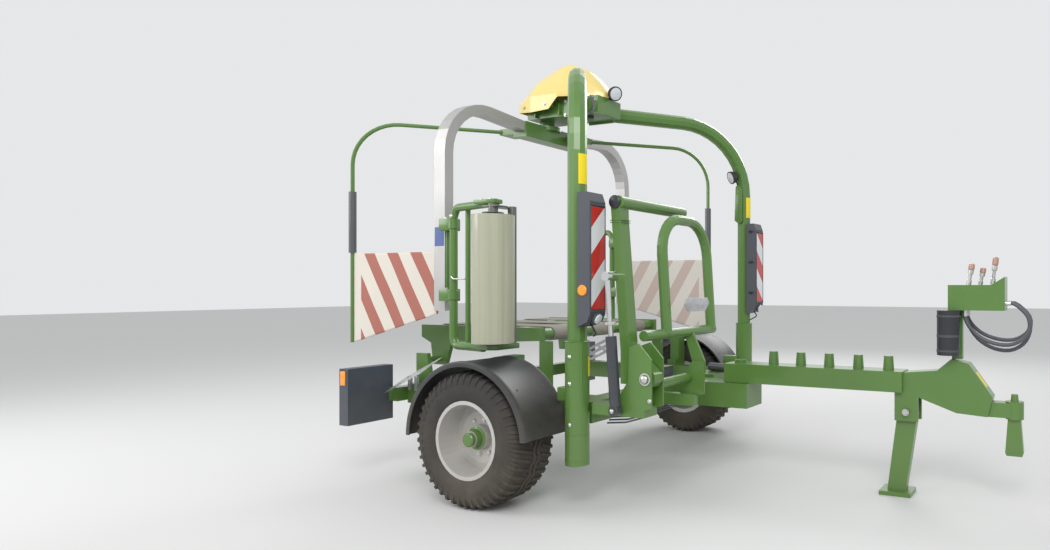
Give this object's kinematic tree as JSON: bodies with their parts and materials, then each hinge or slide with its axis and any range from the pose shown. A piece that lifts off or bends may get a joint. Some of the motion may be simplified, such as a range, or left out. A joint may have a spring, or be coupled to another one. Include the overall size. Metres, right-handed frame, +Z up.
{
  "type": "trailed round bale wrapper",
  "caption": "Trailed round-bale wrapper: satellite film arms turn under a hooded tube portal above a tilting belt table, with loading fork, swinging drawbar and parking jack.",
  "frame": {"origin": "middle of the overall length and width, hoses left out, on the ground", "axes": "+X towards the drawbar and hitch (the front), +Y to the machine's left, +Z up"},
  "size_m": [4.3348, 2.77, 2.9],
  "materials": {
    "green_paint": "gloss",
    "yellow_hood": "gloss",
    "bare_aluminium": "satin",
    "black_plastic": "satin",
    "black_paint": "satin",
    "grey_plastic": "matt",
    "tyre_rubber": "matt",
    "silver_rim": "satin",
    "film": "satin",
    "flag_cloth": "matt",
    "belt": "matt",
    "hose_rubber": "matt",
    "steel": "polished"
  },
  "bodies": {
    "chassis": {"frame_rail_right": "green_paint", "frame_rail_left": "green_paint", "front_crossbeam": "green_paint", "rear_crossbeam": "green_paint", "axle_beam": "green_paint", "frame_nose": "green_paint", "fork_bracket": "green_paint", "valve_block": "black_paint", "portal_leg_right": "green_paint", "portal_leg_left": "green_paint", "fender_right": "black_plastic", "fender_left": "black_plastic", "warning_panel_right": "grey_plastic", "warning_panel_left": "grey_plastic", "lamp_carrier_right": "grey_plastic", "lamp_carrier_left": "grey_plastic", "drive_head": "green_paint", "hood": "yellow_hood", "swing_barrel": "black_paint"},
    "wheel_right": {"tyre_right": "tyre_rubber", "rim_right": "silver_rim"},
    "wheel_left": {"tyre_left": "tyre_rubber", "rim_left": "silver_rim"},
    "rotor": {"rotor_beam": "green_paint", "arm_right": "bare_aluminium", "arm_left": "bare_aluminium", "dispenser_right": "green_paint", "dispenser_left": "green_paint", "safety_bow_right": "green_paint", "safety_bow_left": "green_paint", "flag_right": "flag_cloth", "flag_left": "flag_cloth"},
    "film_roll_right": {"film_roll_right": "film"},
    "film_roll_left": {"film_roll_left": "film"},
    "table": {"table_frame": "green_paint", "table_roller_rear": "green_paint", "table_roller_front": "green_paint", "table_belt_1": "belt", "table_belt_2": "belt", "table_belt_3": "belt"},
    "fork": {"fork_arm": "green_paint", "fork_bow": "green_paint"},
    "lift_cylinder": {"lift_barrel": "black_paint", "lift_rod": "steel"},
    "swing_rod": {"swing_rod": "steel"},
    "drawbar": {"drawbar": "green_paint", "hitch": "green_paint", "hose_rack": "green_paint", "document_canister": "black_plastic", "hose_1": "hose_rubber", "hose_2": "hose_rubber", "hose_3": "hose_rubber"},
    "jack": {"jack_leg": "green_paint"}
  },
  "joints": [
    {"name": "wheel_right_spin", "type": "hinge", "parent": "chassis", "child": "wheel_right", "pos_m": [-0.69, -1.215, 0.39], "axis": [0, 1, 0], "continuous": true},
    {"name": "wheel_left_spin", "type": "hinge", "parent": "chassis", "child": "wheel_left", "pos_m": [-0.69, 1.215, 0.39], "axis": [0, 1, 0], "continuous": true},
    {"name": "rotor_spin", "type": "hinge", "parent": "chassis", "child": "rotor", "pos_m": [-1.26, 0, 2.46], "axis": [0, 0, 1], "continuous": true},
    {"name": "film_roll_right_spin", "type": "hinge", "parent": "rotor", "child": "film_roll_right", "pos_m": [-0.695, -1.145, 0.922], "axis": [0, 0, 1], "continuous": true},
    {"name": "film_roll_left_spin", "type": "hinge", "parent": "rotor", "child": "film_roll_left", "pos_m": [-1.825, 1.145, 0.922], "axis": [0, 0, 1], "continuous": true},
    {"name": "table_tilt", "type": "hinge", "parent": "chassis", "child": "table", "pos_m": [-1.64, 0, 0.75], "axis": [0, -1, 0], "range_deg": [0, 30]},
    {"name": "fork_lift", "type": "hinge", "parent": "chassis", "child": "fork", "pos_m": [0.319, 0, 0.755], "axis": [0, 1, 0], "range_deg": [0, 138]},
    {"name": "lift_cylinder_swing", "type": "hinge", "parent": "chassis", "child": "lift_cylinder", "pos_m": [0.158, -1.13, 0.585], "axis": [0, 1, 0], "range_deg": [0, 103]},
    {"name": "drawbar_swing", "type": "hinge", "parent": "chassis", "child": "drawbar", "pos_m": [0.37, 0, 0.62], "axis": [0, 0, 1], "range_deg": [0, 40]},
    {"name": "swing_rod_slide", "type": "slide", "parent": "chassis", "child": "swing_rod", "axis": [0.9578, -0.2873, 0], "range_m": [-0.14, 0]},
    {"name": "jack_fold", "type": "hinge", "parent": "drawbar", "child": "jack", "pos_m": [1.49, 0, 0.5], "axis": [0, -1, 0], "range_deg": [0, 75]}
  ],
  "couplings": [
    {"joint": "lift_cylinder_swing", "follows": "fork_lift", "ratio": 0.741},
    {"joint": "swing_rod_slide", "follows": "drawbar_swing", "m_per_rad": -0.199}
  ]
}
